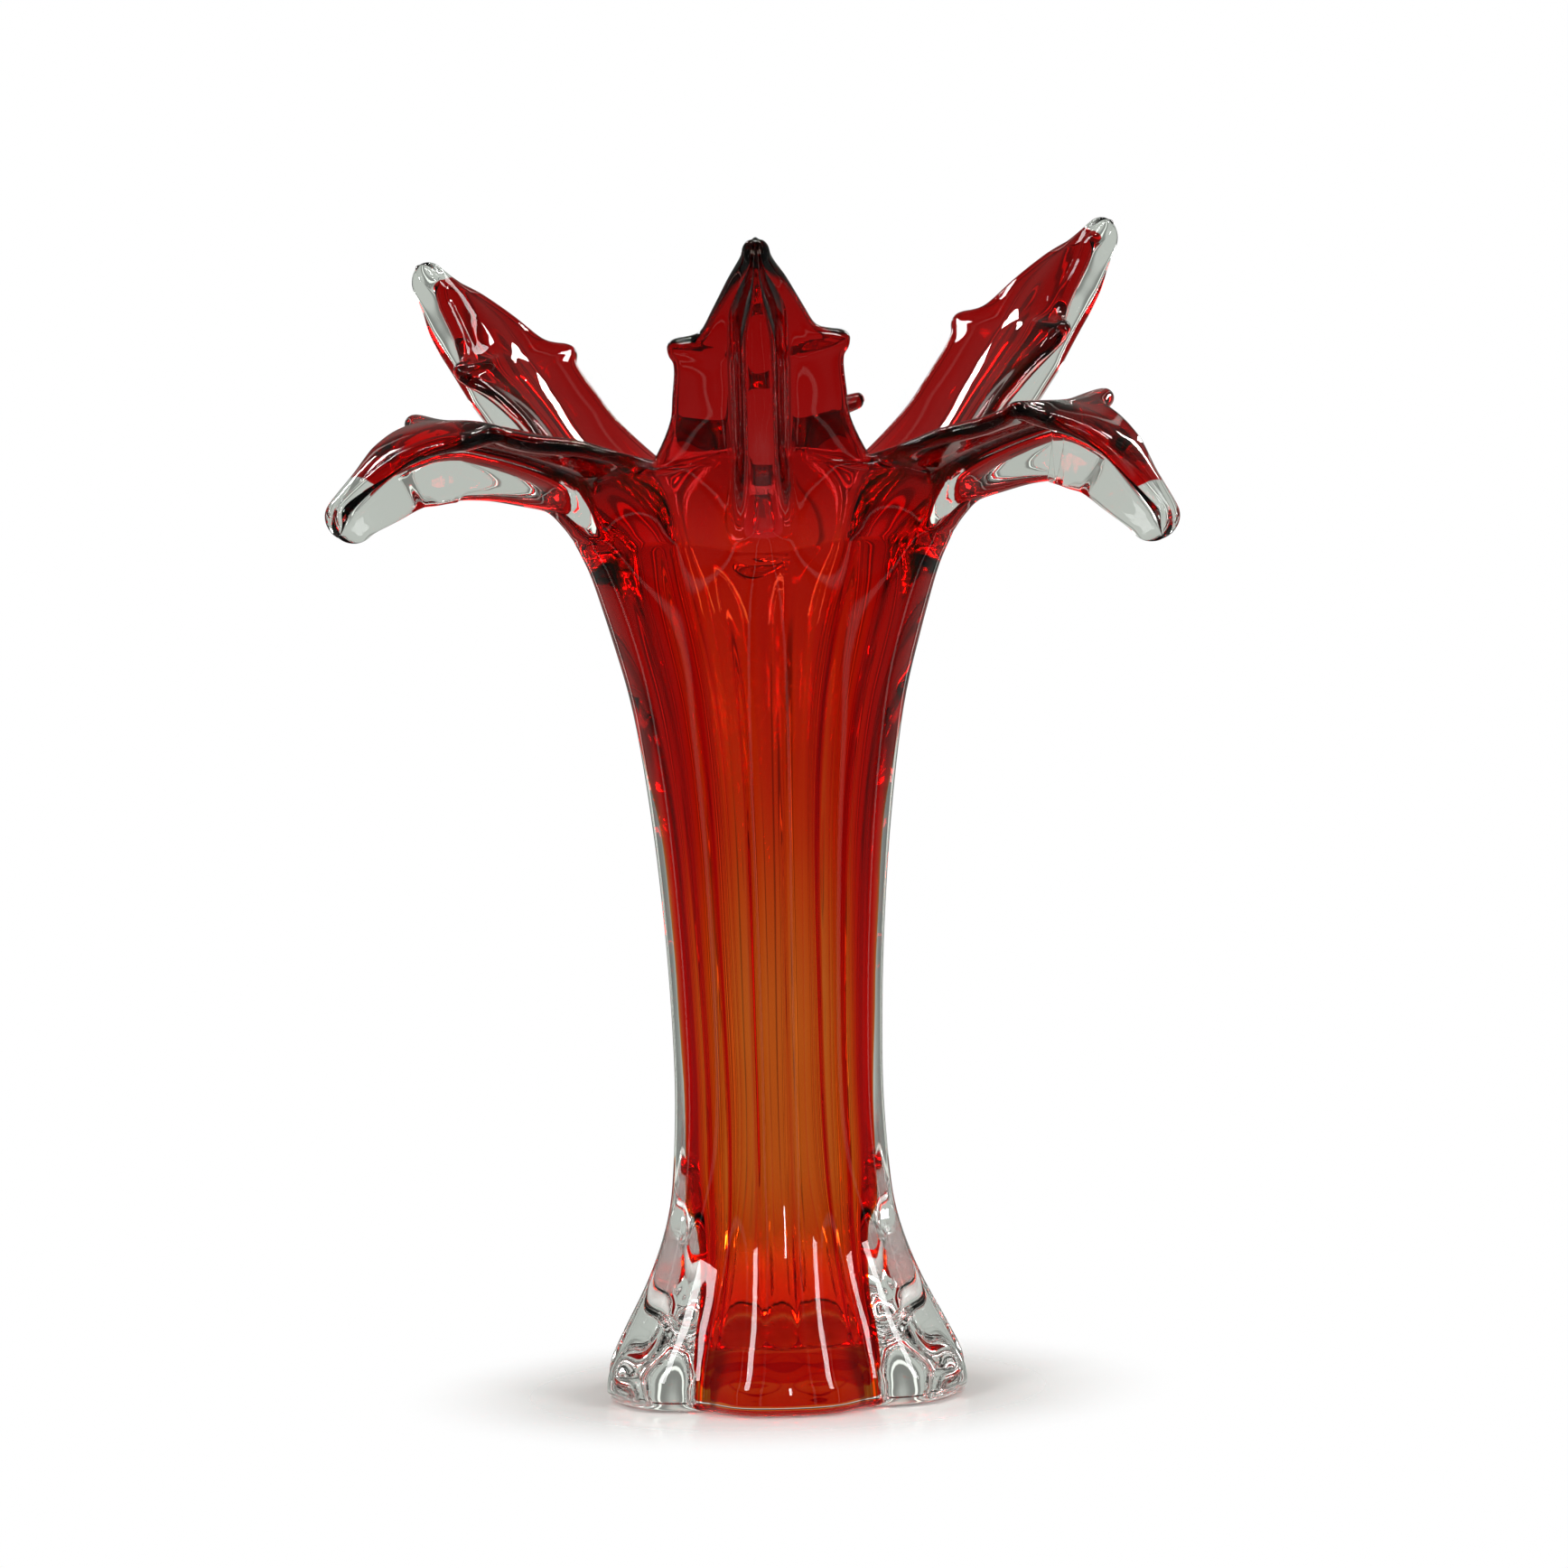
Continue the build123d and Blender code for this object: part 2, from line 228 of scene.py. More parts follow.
# name, azimuth, upright, shift of the spurs (reach, height), stretch and bend beyond them, half width and sag
# of the left and of the right spur as seen from the axis, key at which the ruby ends
FINGERS = [
    ("front_upright", 0.0, True, (0.0, 0.0), 1.0, 0.0, (24.6, 5.6), (24.4, 3.4), 9.9),
    ("front_right_drooping", 60.0, False, (6.0, 1.0), 0.886, -15.5, (29.5, 3.5), (26.5, 0.5), 9.1),
    ("rear_right_upright", 120.0, True, (4.3, 5.7), 1.07, 0.0, (25.5, 5.5), (25.0, -1.0), 9.6),
    ("rear_drooping", 180.0, False, (0.0, 0.0), 0.98, -5.0, (26.0, 0.0), (31.0, 5.5), 9.2),
    ("rear_left_upright", 240.0, True, (0.0, 0.0), 1.0, 0.0, (25.5, -3.0), (25.5, 5.2), 9.0),
    ("front_left_drooping", 300.0, False, (8.0, 0.0), 0.857, -4.6, (25.5, -1.0), (26.0, 2.5), 8.9),
]

COLUMNS = 24  # quads across a finger's face, or a sixth of the body
# where the quads on a rib end, in half widths of the rib
RIB_COLUMNS = (0.45, 0.75, 0.88, 0.96, 1.04, 1.14, 1.4)
EDGE_QUADS = 6  # quads round a blade's edge
TURN_QUADS = 360  # quads round a body of colour
RISE_QUADS = 69  # and up its side


def through(knots, x):
    """Monotone cubic curve through the knots (x, y...)."""
    table = np.array(knots, float)
    xs, ys = table[:, 0], table[:, 1:]
    steps = np.diff(xs)[:, None]
    slopes = np.diff(ys, axis=0) / steps
    tangents = np.zeros_like(ys)
    tangents[0], tangents[-1] = slopes[0], slopes[-1]
    before, after = slopes[:-1], slopes[1:]
    same_way = before * after > 0
    total = np.where(same_way, before + after, 1.0)
    tangents[1:-1] = np.where(same_way, 2 * before * after / total, 0.0)
    at = np.clip(np.searchsorted(xs, x) - 1, 0, len(xs) - 2)
    step = steps[at]
    t = (x - xs[at]) / step
    start = ys[at] * (1 + 2 * t) * (1 - t) ** 2 + tangents[at] * step * t * (1 - t) ** 2
    end = ys[at + 1] * t**2 * (3 - 2 * t) + tangents[at + 1] * step * t**2 * (t - 1)
    return start + end


def rib_share(angle, height):
    breadth = EVEN_RIB + (BROAD_RIB - EVEN_RIB) * max(0.0, 1 - height / EVEN_RIB_Z)
    groove = 0.5 - 0.5 * math.cos(math.radians(angle) * 360 / SECTOR)
    return 1 - groove**breadth


def skin_radius(angle, height):
    rib, groove = through(BODY_SKIN, height)
    drop = max(0.0, 1 - height / TOE_ROUNDING)
    undercut = TOE_UNDERCUT * (1 - math.sqrt(1 - drop**2))
    return groove + (rib - groove) * rib_share(angle, height) - undercut


def crease_distance(azimuth, height):
    """0 on a crease between two flutes and 1 in the middle of a flute."""
    turn = math.radians(azimuth)
    drift = 2.2 * math.sin(turn + 0.7) + 1.6 * math.sin(3 * turn + height / 31) + 5.0 * math.sin(height / 95)
    return abs(math.cos(math.radians(azimuth + drift) * FLUTES / 2))


def flute(azimuth, height):
    """Offset of the cavity's wall: rounded flutes with creases between them, a little uneven."""
    low, high = FLUTE_FADE
    fade = min(1.0, max(0.0, (high - height) / (high - low)))
    turn = math.radians(azimuth)
    lobe = crease_distance(azimuth, height)
    uneven = 1 + 0.3 * math.sin(2 * turn + 1.1) + 0.2 * math.sin(5 * turn + height / 40)
    return FLUTE_DEPTH * fade * uneven * (2 * lobe**0.6 - 1)


def cavity_radius(azimuth, height):
    return through(LINING, height)[1] + flute(azimuth, height)


def sector_row(radius_at, azimuth, height, share=1.0):
    """Points over one sixth of a level ring, in the frame of a finger, whose own direction is +X."""
    angles = np.linspace(-HALF_SECTOR, HALF_SECTOR, COLUMNS + 1)
    radii = [radius_at(azimuth + angle, height) * share for angle in angles]
    return np.array([(r * math.cos(a), r * math.sin(a), height) for r, a in zip(radii, np.radians(angles))])


def ring_edges(key):
    inner_radius, outer_radius, height = through(RING_EDGE, key)
    sine, cosine = math.sin(math.radians(HALF_SECTOR)), math.cos(math.radians(HALF_SECTOR))
    return [np.array((radius * cosine, radius * sine, height)) for radius in (inner_radius, outer_radius)]


class Finger:
    """The shape of one finger in its own frame, whose +X is outward and +Z up, at any key along it."""

    def __init__(self, azimuth, upright, shift, stretch, bend, left_spur, right_spur, ruby_end):
        self.azimuth, self.ruby_end = azimuth, ruby_end
        ridge = np.array(UPRIGHT_RIDGE if upright else DROOPING_RIDGE)
        self.edges = UPRIGHT_EDGE if upright else DROOPING_EDGE
        usual = through(self.edges, SPUR_KEY)
        self.spurs = {1: np.array(left_spur) - usual, -1: np.array(right_spur) - usual}
        lift = math.radians(bend)
        turn = np.array(((math.cos(lift), math.sin(lift)), (-math.sin(lift), math.cos(lift))))
        pivot, drawn = ridge[SPUR_KEY, :2].copy(), ridge[SPUR_KEY + 1 :]
        drawn[:, :2] = pivot + shift + (drawn[:, :2] - pivot) @ turn * stretch
        drawn[:, 2] -= bend
        for key in range(VALLEY_KEY + 1, SPUR_KEY + 1):
            ridge[key, :2] += np.array(shift) * (key - VALLEY_KEY) / (SPUR_KEY - VALLEY_KEY)
        self.ridge = [(key, *row) for key, row in enumerate(ridge)]
        self.last = len(ridge) - 1

    def centre(self, key):
        reach, height, tilt, depth, blade = through(self.ridge, key)
        top = np.array((reach, 0.0, height))
        inward = np.array((-math.cos(math.radians(tilt)), 0.0, math.sin(math.radians(tilt))))
        return top, inward, depth, blade

    def edge_pair(self, key, side):
        """Inner and outer edge on one side, 1 for left or -1 for right, both given as if on the left."""
        if key <= VALLEY_KEY:
            return ring_edges(key)
        at = max(key, FREE_KEY)
        top, inward, _depth, blade = self.centre(at)
        half_width, sag = through(self.edges, at) + self.spurs[side] * through(SPUR_SHARE, at)
        middle = top + inward * (sag - blade / 2) + (0.0, half_width - EDGE_WALL / 2, 0.0)
        pair = [middle + inward * EDGE_WALL / 2, middle - inward * EDGE_WALL / 2]
        if key >= FREE_KEY:
            return pair
        start = ring_edges(VALLEY_KEY)
        leave = [(a - b) / KEY_STEP for a, b in zip(start, ring_edges(VALLEY_KEY - KEY_STEP))]
        arrive = [(b - a) / KEY_STEP for a, b in zip(pair, self.edge_pair(FREE_KEY + KEY_STEP, side))]
        t = key - VALLEY_KEY
        blend = []
        for a, b, m, n in zip(start, pair, leave, arrive):
            point = a * (1 + 2 * t) * (1 - t) ** 2 + b * t**2 * (3 - 2 * t)
            point = point + m * VALLEY_LEAVE * t * (1 - t) ** 2 + n * t**2 * (t - 1)
            blend.append(point - (0.0, VALLEY_ROUNDING * (math.sqrt(t) - t), 0.0))
        return blend

    def section(self, key, rounded, inset=0.0, wall=None):
        """Loop of the clear glass at a key, or with a wall, of ruby of that thickness on the inner face."""
        top, inward, depth, blade = self.centre(key)
        pairs = {side: self.edge_pair(key, side) for side in (1, -1)}
        formed = min(1.0, key / RIB_FORMED_KEY)
        back, nose = top - inward * blade, top - inward * depth
        right, left = (column_shares(pairs[side][1][1], formed) for side in (-1, 1))
        shares = np.append(-right[:0:-1], left)
        inner_face, blade_back, face = [], [], []
        for q in shares:
            inner, outer = pairs[1 if q > 0 else -1]
            inner_face.append(across(top, inner, q))
            blade_back.append(across(back, outer, q))
            push = (nose - back) * rib_bump(q, outer[1], formed)
            fan = math.radians(HALF_SECTOR * q) * (1 - formed)
            face.append(blade_back[-1] + (push[0] * math.cos(fan), push[0] * math.sin(fan), push[2]))
        inner_face, blade_back, face = np.array(inner_face), np.array(blade_back), np.array(face)
        through_blade = blade_back - inner_face
        through_blade /= np.linalg.norm(through_blade, axis=1)[:, None]
        if wall is not None:
            face = inner_face + through_blade * wall
        inner_face = inner_face + through_blade * inset
        runs = {}
        for side, (inner, outer) in pairs.items():
            half = (inner - outer) / 2
            radius = np.linalg.norm(half)
            start = 0.0 if wall is None else math.acos(max(-1.0, wall / radius - 1))
            outward = self.edge_normal(key, side, half) if rounded else np.zeros(3)
            centre = (inner + outer) / 2
            bends = np.linspace(start, math.pi, EDGE_QUADS + 1)[:, None]
            away = half / radius * np.cos(bends) - outward * np.sin(bends)
            runs[side] = centre - away * (radius - inset)
            if inset and not rounded:
                runs[side] -= (0.0, GAP / 2, 0.0)
            runs[side] = runs[side] * (1, side, 1)
        if not rounded:
            angles = HALF_SECTOR * shares
            depths = [flute(self.azimuth + angle, ROOT_Z) * (1 - key / VALLEY_KEY) for angle in angles]
            offsets = [(d * math.cos(a), d * math.sin(a), 0.0) for d, a in zip(depths, np.radians(angles))]
            inner_face = inner_face + offsets
            runs[1], runs[-1] = runs[1] + offsets[-1], runs[-1] + offsets[0]
            if wall is not None:
                face = face + offsets
        for end, run in ((0, runs[-1]), (-1, runs[1])):
            inner_face[end] = run[-1]
            if wall is not None:
                face[end] = run[0]
        return [face, runs[1], inner_face[::-1], runs[-1][::-1]]

    def edge_normal(self, key, side, half):
        """Direction in which the edge is rounded: away from the blade, or upwards at a valley's bottom."""
        if key <= VALLEY_KEY:
            return np.array((0.0, 0.0, 1.0))
        step = 2 * KEY_STEP * max(2 * KEY_STEP, min(1.0, key - VALLEY_KEY))
        before, after = (self.edge_pair(min(at, self.last), side) for at in (key - step, key + step))
        along = sum(after) - sum(before)
        normal = np.cross(half, along)
        return normal / np.linalg.norm(normal)


def across(centre, edge, q):
    """A point of a blade's face at share q of its width, on an arc from its centre line to its edge."""
    half = math.radians(HALF_SECTOR)
    side = edge[1] * math.sin(half * q) / math.sin(half)
    sag = (1 - math.cos(half * q)) / (1 - math.cos(half))
    return np.array((centre[0] + (edge[0] - centre[0]) * sag, side, centre[2] + (edge[2] - centre[2]) * sag))


def column_shares(half_width, formed):
    """Shares of a half width at which the columns stand: even on the body, and dense on a finger's rib."""
    even = np.linspace(0, 1, COLUMNS // 2 + 1)
    near = np.array((0.0, *RIB_COLUMNS)) * min(RIB_HALF_WIDTH, RIB_SHARE * half_width) / half_width
    far = np.linspace(near[-1], 1, len(even) - len(near) + 1)[1:]
    return even + formed * (np.append(near, far) - even)


def rib_bump(q, half_width, formed):
    """The rib's height over a blade's back. The body's rib is a wave, and a finger's has a flat nose."""
    wave = math.cos(math.pi * q / 2) ** 2
    away = abs(q) * half_width / min(RIB_HALF_WIDTH, RIB_SHARE * half_width)
    return wave * (1 - formed) + formed * (1 - q**NOSE_SHARPNESS) / (1 + away**RIB_SHARPNESS)


def rounded_end(section, length, shares):
    """Ever smaller copies of a section, which round it off."""
    ridge, nose = section[2][COLUMNS // 2], section[0][COLUMNS // 2]
    middle = (ridge + nose) / 2
    inward = (ridge - nose) / np.linalg.norm(ridge - nose)
    forward = np.array((inward[2], 0.0, -inward[0])) * length
    ends = []
    for share in shares:
        size = math.sqrt(1 - share**2)
        ends.append([middle + (run - middle) * size + forward * share for run in section])
    return ends


class Surface:
    """Strips of quads, welded into one closed mesh."""

    def __init__(self):
        self.points = []
        self.faces = []

    def rows(self, rows, azimuth):
        """Quads between rows of equal length, turned from a finger's frame to its azimuth."""
        turn = math.radians(azimuth - 90)
        cosine, sine = math.cos(turn), math.sin(turn)
        start, count = len(self.points), len(rows[0])
        for row in rows:
            for x, y, z in row:
                self.points.append((x * cosine - y * sine, x * sine + y * cosine, z))
        for j in range(len(rows) - 1):
            for i in range(count - 1):
                a = start + j * count + i
                self.faces.append((a, a + 1, a + count + 1, a + count))

    def build(self, name, subdivisions):
        mesh = bpy.data.meshes.new(name)
        mesh.from_pydata([tuple(c * MM for c in point) for point in self.points], [], self.faces)
        work = bmesh.new()
        work.from_mesh(mesh)
        bmesh.ops.remove_doubles(work, verts=work.verts, dist=0.002 * MM)
        bmesh.ops.dissolve_degenerate(work, edges=work.edges, dist=0.001 * MM)
        bmesh.ops.recalc_face_normals(work, faces=work.faces)
        for face in work.faces:
            face.smooth = True
        work.to_mesh(mesh)
        work.free()
        piece = bpy.data.objects.new(name, mesh)
        bpy.context.scene.collection.objects.link(piece)
        if subdivisions:
            modifier = piece.modifiers.new("rounding", "SUBSURF")
            modifier.levels = modifier.render_levels = subdivisions
        return piece


def blade_keys(last):
    """Keys along a finger beyond the valley, close together where its edge turns quickly."""
    start = [VALLEY_KEY + (step / 9) ** 2 for step in range(1, 10)]
    spurs = [*np.arange(3.25, 4.4, 0.25), *np.arange(4.5, 5.6, 0.14)]
    return [*start, *spurs, *np.arange(5.8, 7.9, 0.3), *np.linspace(8.0, last, 6)]


# Where the rows of quads lie: shares of the underside's radius, heights of the skin's rows, share and rise of
# the rows on the cavity's bottom, heights of its other rows, keys from root to valley, and shares of a tip
UNDERSIDE_SHARES = (0.0, 0.15, 0.35, 0.6, 0.82, 0.95)
SKIN_ROWS = [0.0, 0.3, 0.9, 1.8, 2.8, 3.8, 5.4, 7.5, 10, 13, 16, 19.5, 23, 27, 31, 36, 41, 47, 54, 62, 71]
SKIN_ROWS += [80, 90, 100, 112, 124, 136, 148, 158, 168, 178, 188, 197, 205, 212, 218, 224, 228, 232, 234.5]
BOTTOM_ROWS = ((0.0, -0.5), (0.3, -0.45), (0.6, -0.3), (0.85, 0.1), (0.96, 0.8))
CAVITY_ROWS = [15, 17, 20, 24, 29, 35, 43, 53, 64, 76, 88, 100, 112, 124, 136, 147, 158, 169, 179, 188, 196]
CAVITY_ROWS += [203, 210, 217, 223, 228, 232, 234.5]
RING_KEYS = np.linspace(0, VALLEY_KEY, 8)
TIP_SHARES = (0.3, 0.55, 0.75, 0.9, 0.975, 1.0)
FACING_TIP_SHARES = (0.5, 0.85)


def clear_wall():
    wall = Surface()
    for _name, azimuth, *shape in FINGERS:
        finger = Finger(azimuth, *shape)
        outside = [sector_row(skin_radius, azimuth, 0.0, share) for share in UNDERSIDE_SHARES]
        outside += [sector_row(skin_radius, azimuth, height) for height in SKIN_ROWS]
        floor = [(CAVITY_BOTTOM_Z + rise, share) for share, rise in BOTTOM_ROWS]
        inside = [sector_row(cavity_radius, azimuth, *row) for row in floor]
        inside += [sector_row(cavity_radius, azimuth, height) for height in CAVITY_ROWS]
        for key in RING_KEYS:
            face, _run, inner_face, _mirrored = finger.section(key, False)
            outside.append(face)
            inside.append(inner_face[::-1])
        wall.rows(outside, azimuth)
        wall.rows(inside, azimuth)
        stations = [finger.section(key, True) for key in [VALLEY_KEY] + blade_keys(finger.last)]
        stations += rounded_end(stations[-1], TIP_LENGTH, TIP_SHARES)
        for side in range(4):
            wall.rows([station[side] for station in stations], azimuth)
    return wall.build("clear_glass_wall", 1)


def facing(name, azimuth, shape):
    """Ruby glass on the inner face of one finger, closed, and everywhere a little inside the wall."""
    finger = Finger(azimuth, *shape)

    def station(key, rounded):
        return finger.section(key, rounded, SKIN_DEPTH, SKIN_DEPTH + through(FACING_WALL, key)[0])

    stations = [station(key, False) for key in [FACING_FROM_KEY, *RING_KEYS[1:]]]
    free_keys = [key for key in blade_keys(finger.last) if key < finger.ruby_end]
    stations += [station(key, True) for key in [VALLEY_KEY, *free_keys, finger.ruby_end]]
    stations += rounded_end(stations[-1], FACING_TIP_LENGTH, FACING_TIP_SHARES)
    surface = Surface()
    for side in range(4):
        surface.rows([section[side] for section in stations], azimuth)
    surface.rows(cap(stations[0]), azimuth)
    surface.rows(cap(stations[-1]), azimuth)
    return surface.build(name, 0)


def cap(section):
    """Flat sheet which fills a section."""
    face, run, inner_face, mirrored = section
    rows = []
    for share, left, right in zip(np.linspace(0, 1, EDGE_QUADS + 1), run, mirrored[::-1]):
        row = face + (inner_face[::-1] - face) * share
        row[-1], row[0] = left, right
        rows.append(row)
    return rows


def shell(name, outer_at, inner_at, bottom, floor, scallop):
    """Closed body of colour round the cavity: its outer and inner surface, its top ring and its bottom."""
    surface = Surface()
    turns = np.radians(np.linspace(0, 360, TURN_QUADS + 1))

    def ring(radius_at, height, share=1.0):
        points = []
        low_down = max(0.0, 1 - (height - bottom) / SCALLOP_HEIGHT)
        for turn in turns:
            azimuth = math.degrees(turn)
            radius = radius_at(azimuth, height) * share
            hang = scallop * low_down * share * (2 * crease_distance(azimuth, height) - 1)
            points.append((radius * math.sin(turn), -radius * math.cos(turn), height - hang))
        return np.array(points)

    top = ROOT_Z - 0.02
    outside = [ring(outer_at, bottom, share) for share in (0.0, 0.5, 0.9)]
    outside += [ring(outer_at, bottom + rise, share) for rise, share in ((0.3, 0.96), (1.2, 0.99))]
    outside += [ring(outer_at, height) for height in np.linspace(bottom + 3.0, top, RISE_QUADS + 1)]
    inside = [ring(inner_at, height) for height in np.linspace(top, floor + 3.0, RISE_QUADS + 1)]
    inside += [ring(inner_at, floor + rise, share) for rise, share in ((1.2, 0.99), (0.3, 0.96))]
    inside += [ring(inner_at, floor, share) for share in (0.9, 0.5, 0.0)]
    surface.rows(outside + inside, 90.0)
    return surface.build(name, 0)


def ruby_inner(angle, height):
    return cavity_radius(angle, height) + SKIN_DEPTH


def ruby_outer(angle, height):
    seam = math.exp(-((crease_distance(angle, height) / SEAM_SHARE) ** 2))
    uneven = 0.5 + 0.5 * math.sin(math.radians(angle) * 2.0 + 0.8) * math.cos(height / 47)
    fade = min(1.0, max(0.0, (210 - height) / 60), max(0.0, (height - RUBY_WALL_FROM_Z) / 20))
    seam *= SEAM_WALL * uneven * fade
    wall = through(RUBY_WALL, max(height, RUBY_WALL_FROM_Z))[0]
    return ruby_inner(angle, height) + wall * (1 + streak(angle, height)) + seam


def streak(angle, height):
    """Share of the ruby's wall to add on the upper trunk, where it was drawn out in streaks."""
    turn = math.radians(angle) + 0.05 * math.sin(height / 23)
    wave = math.sin(7 * turn + 0.9) * math.sin(3 * turn + 2.0) + 0.5 * math.sin(17 * turn + 0.3)
    rising = min(1.0, max(0.0, (height - 135) / 40))
    falling = min(1.0, max(0.0, (234 - height) / 18))
    return STREAK_SHARE * wave * rising * falling


def amber_inner(angle, height):
    return ruby_outer(angle, height) + GAP


def amber_outer(angle, height):
    return through(LINING, height)[0] + flute(angle, height)


# Materials

def new_material(name):
    material = bpy.data.materials.new(name)
    material.use_nodes = True
    nodes = material.node_tree.nodes
    for node in list(nodes):
        nodes.remove(node)
    return material, nodes, material.node_tree.links


def clear_glass():
    """Fire polished clear glass. Its surface waves a little, and it holds a few faint cords."""
    material, nodes, links = new_material("clear_glass")
    output = nodes.new("ShaderNodeOutputMaterial")
    shader = nodes.new("ShaderNodeBsdfPrincipled")
    shader.inputs["IOR"].default_value = 1.5
    shader.inputs["Transmission Weight"].default_value = 1.0
    shader.inputs["Specular Tint"].default_value = (0.4, 0.4, 0.4, 1)
    place = nodes.new("ShaderNodeTexCoord")
    stretch = nodes.new("ShaderNodeMapping")
    stretch.inputs["Scale"].default_value = (60.0, 60.0, 14.0)
    links.new(place.outputs["Object"], stretch.inputs["Vector"])
    waves = nodes.new("ShaderNodeTexNoise")
    waves.inputs["Scale"].default_value = 1.0
    waves.inputs["Detail"].default_value = 1.5
    links.new(stretch.outputs["Vector"], waves.inputs["Vector"])
    bump = nodes.new("ShaderNodeBump")
    bump.inputs["Strength"].default_value = 0.06
    bump.inputs["Distance"].default_value = 0.0008
    links.new(waves.outputs["Fac"], bump.inputs["Height"])
    links.new(bump.outputs["Normal"], shader.inputs["Normal"])
    tint = nodes.new("ShaderNodeMix")
    tint.data_type = "RGBA"
    tint.inputs["A"].default_value = (0.97, 0.985, 0.975, 1)
    tint.inputs["B"].default_value = (0.99, 0.99, 0.985, 1)
    links.new(waves.outputs["Fac"], tint.inputs["Factor"])
    links.new(tint.outputs["Result"], shader.inputs["Base Color"])
    rough = nodes.new("ShaderNodeMapRange")
    rough.inputs["To Min"].default_value = 0.0
    rough.inputs["To Max"].default_value = 0.02
    links.new(waves.outputs["Fac"], rough.inputs["Value"])
    links.new(rough.outputs["Result"], shader.inputs["Roughness"])
    links.new(shader.outputs["BSDF"], output.inputs["Surface"])
    return material


def coloured_glass(name, absorption, tint_a, tint_b, tinted_above=None):
    """A body of colour. Absorption is per millimetre for red, green and blue. The surfaces have a cloudy
    tint, between the two given, which may fade in between two heights in metres."""
    material, nodes, links = new_material(name)
    output = nodes.new("ShaderNodeOutputMaterial")
    surface = nodes.new("ShaderNodeBsdfTransparent")
    place = nodes.new("ShaderNodeTexCoord")
    cloud = nodes.new("ShaderNodeTexNoise")
    cloud.inputs["Scale"].default_value = 35.0
    cloud.inputs["Detail"].default_value = 2.0
    links.new(place.outputs["Object"], cloud.inputs["Vector"])
    tint = nodes.new("ShaderNodeMix")
    tint.data_type = "RGBA"
    tint.inputs["A"].default_value = tint_a
    tint.inputs["B"].default_value = tint_b
    links.new(cloud.outputs["Fac"], tint.inputs["Factor"])
    result = tint.outputs["Result"]
    if tinted_above:
        split = nodes.new("ShaderNodeSeparateXYZ")
        links.new(place.outputs["Object"], split.inputs["Vector"])
        rise = nodes.new("ShaderNodeMapRange")
        rise.interpolation_type = "SMOOTHSTEP"
        rise.inputs["From Min"].default_value, rise.inputs["From Max"].default_value = tinted_above
        links.new(split.outputs["Z"], rise.inputs["Value"])
        fade = nodes.new("ShaderNodeMix")
        fade.data_type = "RGBA"
        fade.inputs["A"].default_value = (1.0, 1.0, 1.0, 1)
        links.new(rise.outputs["Result"], fade.inputs["Factor"])
        links.new(result, fade.inputs["B"])
        result = fade.outputs["Result"]
    links.new(result, surface.inputs["Color"])
    links.new(surface.outputs["BSDF"], output.inputs["Surface"])
    volume = nodes.new("ShaderNodeVolumeAbsorption")
    strongest = max(absorption)
    volume.inputs["Density"].default_value = strongest / MM
    volume.inputs["Color"].default_value = (*(1 - a / strongest for a in absorption), 1)
    links.new(volume.outputs["Volume"], output.inputs["Volume"])
    return material


def show(piece, material, nodes):
    piece.data.materials.append(material)
    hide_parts(*nodes)
    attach(piece, "root")


clear = clear_glass()
amber = coloured_glass("amber_glass", (0.05, 1.0, 2.5), (0.99, 0.97, 0.94, 1), (1.0, 1.0, 1.0, 1))
ruby = coloured_glass("ruby_glass", (0.17, 1.9, 1.9), (0.98, 0.95, 0.95, 1), (1.0, 1.0, 1.0, 1))
# Ruby of the fingers' facings. It absorbs less red than the lining's ruby, and its surfaces carry a darker,
# redder tint which fades in between 238 and 262 mm high.
ruby_darker_above = coloured_glass(
    "ruby_darker_above_glass", (0.08, 1.9, 1.9), (0.74, 0.9, 0.9, 1), (0.84, 0.93, 0.93, 1), (0.238, 0.262)
)

show(clear_wall(), clear, ["clear_casing"] + [name + "_finger" for name, *_rest in FINGERS])
amber_lining = shell("amber_lining", amber_outer, amber_inner, AMBER_BOTTOM_Z, AMBER_FLOOR_Z, 0.0)
show(amber_lining, amber, ["amber_layer"])
ruby_lining = shell("ruby_lining", ruby_outer, ruby_inner, RUBY_BOTTOM_Z, RUBY_FLOOR_Z, SCALLOP)
show(ruby_lining, ruby, ["ruby_layer"])
for name, azimuth, *shape in FINGERS:
    show(facing(name + "_ruby", azimuth, shape), ruby_darker_above, [name + "_ruby_facing"])

# Stage

BACKDROP = (0.50, 0.53, 0.49, 1)


